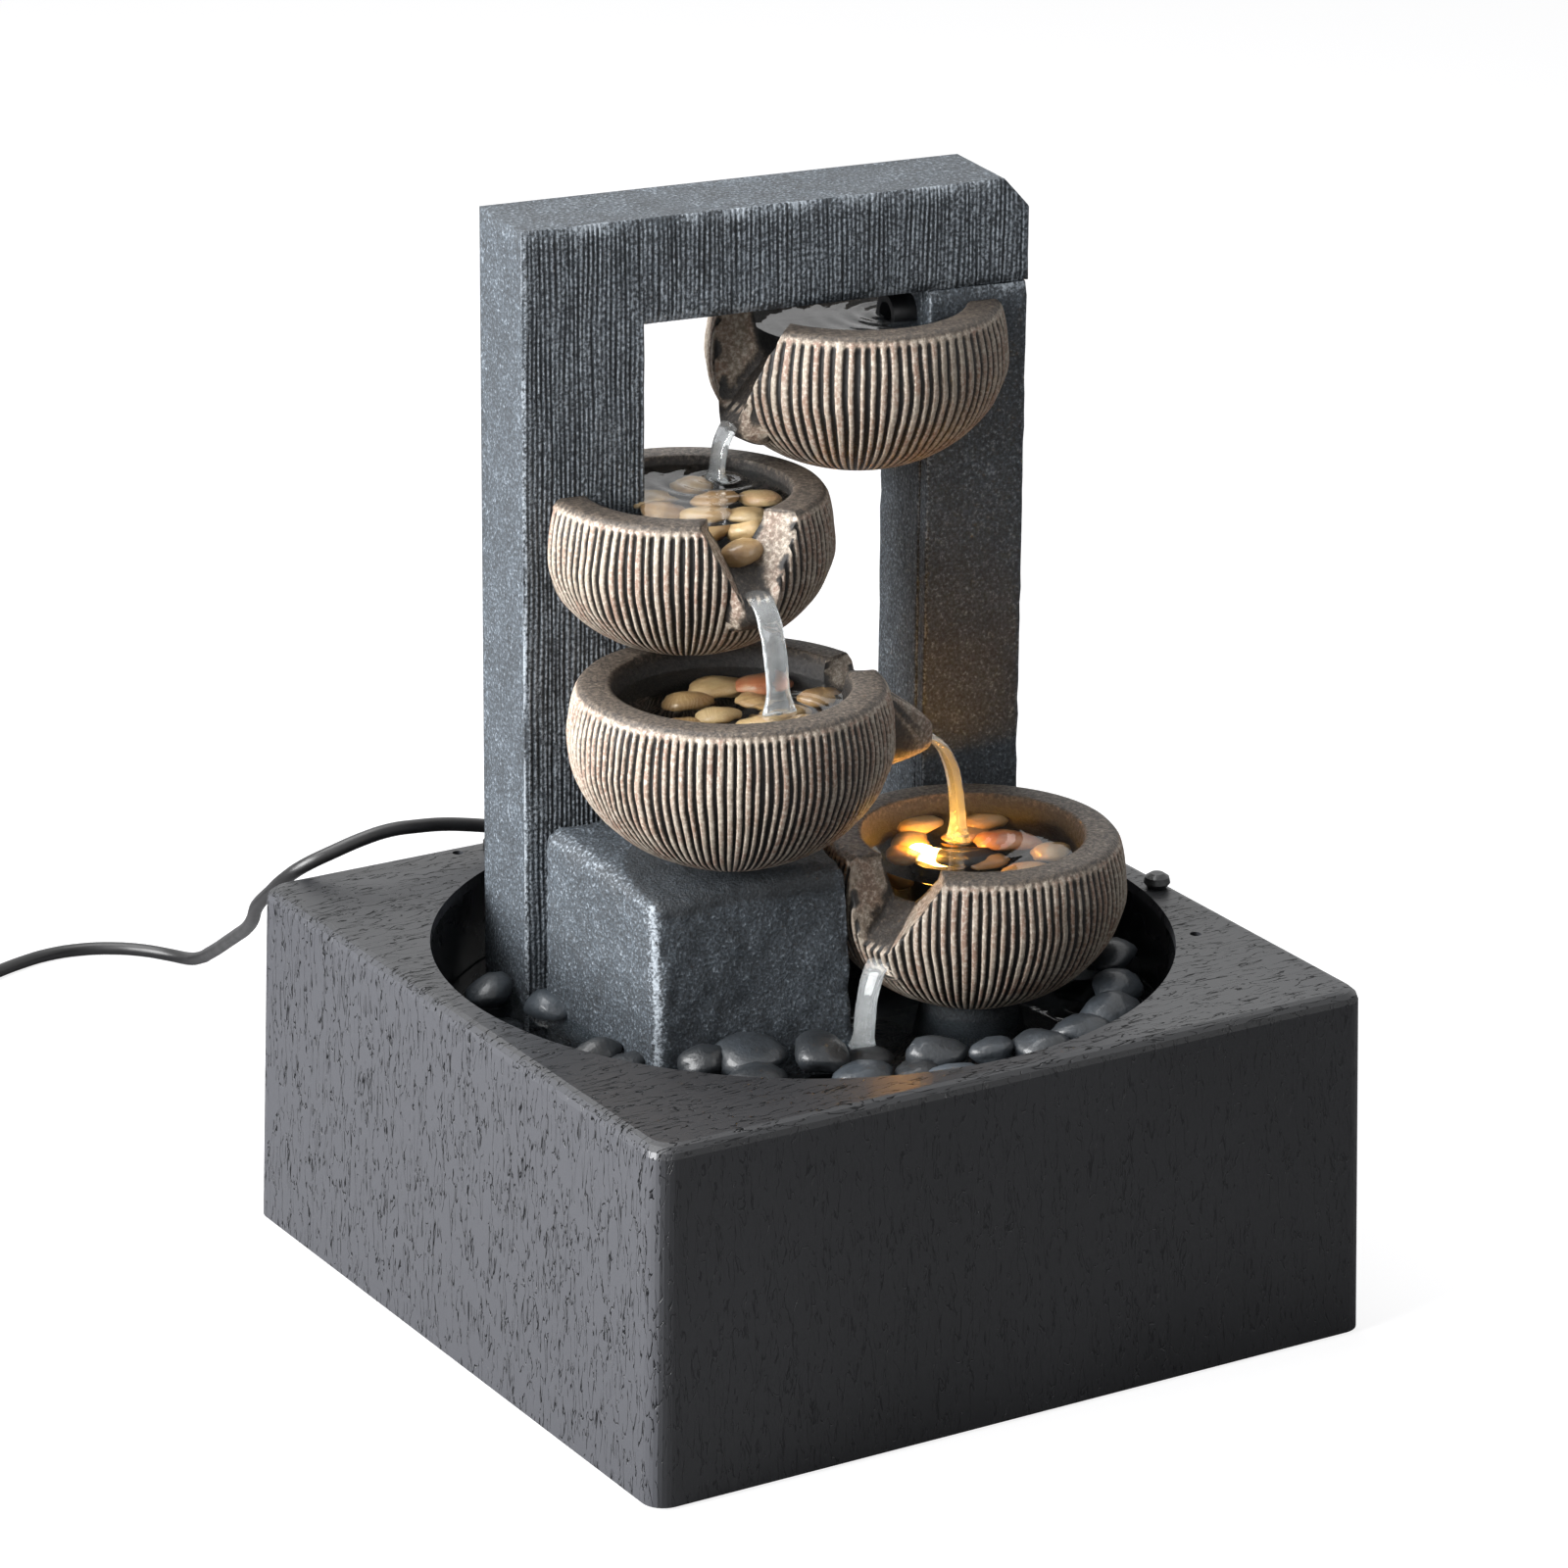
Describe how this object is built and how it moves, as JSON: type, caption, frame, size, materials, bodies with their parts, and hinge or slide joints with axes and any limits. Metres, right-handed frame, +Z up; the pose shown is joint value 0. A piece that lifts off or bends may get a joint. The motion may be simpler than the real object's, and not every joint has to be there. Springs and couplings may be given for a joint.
{
  "type": "tabletop water fountain",
  "caption": "Tabletop fountain: water is pumped up an arch and falls through ribbed bowls, one lit, into a round well in a square base.",
  "frame": {"origin": "middle of the square base, on the table", "axes": "+Z up, -Y towards the front of the base, +X to its right"},
  "size_m": [0.312, 0.4467, 0.28],
  "materials": {
    "base_plastic": "satin black with a moulded grain",
    "well_plastic": "smooth",
    "rubber": "matt",
    "dark_stone": "wet",
    "tan_stone": "wet",
    "slate_resin": "dry-brushed cast resin",
    "bowl_resin": "dry-brushed ribbed cast resin",
    "pump_plastic": "moulded",
    "grey_plastic": "moulded",
    "impeller_plastic": "moulded",
    "shaft_ceramic": "ground",
    "hose_vinyl": "clear vinyl",
    "cord_rubber": "satin",
    "adaptor_plastic": "fine spark texture",
    "pin_brass": "plated",
    "lens": "clear",
    "led_white": "soldered board"
  },
  "bodies": {
    "base": {"base_housing": "base_plastic", "reservoir": "well_plastic", "sump_cup": "well_plastic", "rubber_feet": "rubber", "deck_pebble": "dark_stone", "basin_pebbles": "dark_stone", "pump_body": "pump_plastic", "impeller_shaft": "shaft_ceramic", "suction_cups": "rubber", "pump_lead": "cord_rubber", "cord_clip": "cord_rubber", "power_cord": "cord_rubber", "cord_coil": "cord_rubber", "coil_tie": "cord_rubber", "adaptor_relief": "cord_rubber", "adaptor_body": "adaptor_plastic", "adaptor_face": "adaptor_plastic", "plug_pins": "pin_brass"},
    "tower": {"arch_slab": "slate_resin", "right_column": "slate_resin", "column_cover": "slate_resin", "tower_foot": "slate_resin", "plinth": "slate_resin", "bowl_stand": "slate_resin", "bowl_one": "bowl_resin", "bowl_two": "bowl_resin", "bowl_three": "bowl_resin", "bowl_four": "bowl_resin", "riser_hose": "hose_vinyl", "outlet_nozzle": "pump_plastic", "led_housing": "pump_plastic", "led_lens": "lens", "led_board": "led_white", "led_lead": "cord_rubber", "pebbles_two": "tan_stone", "pebbles_three": "tan_stone", "pebbles_four": "tan_stone"},
    "pump_cover": {"pump_cover": "pump_plastic"},
    "flow_regulator": {"flow_regulator": "grey_plastic"},
    "impeller": {"impeller": "impeller_plastic"}
  },
  "joints": [
    {"name": "tower_lift", "type": "slide", "parent": "base", "child": "tower", "axis": [0, 0, 1], "range_m": [0, 0.07]},
    {"name": "impeller_spin", "type": "hinge", "parent": "base", "child": "impeller", "pos_m": [-0.00229, 0.05058, 0.027], "axis": [0.1132, 0.9936, 0], "continuous": true},
    {"name": "cover_pull", "type": "slide", "parent": "base", "child": "pump_cover", "axis": [0.1132, 0.9936, 0], "range_m": [0, 0.005]},
    {"name": "flow_slide", "type": "slide", "parent": "pump_cover", "child": "flow_regulator", "axis": [0.9936, -0.1132, 0], "range_m": [0, 0.008]}
  ]
}
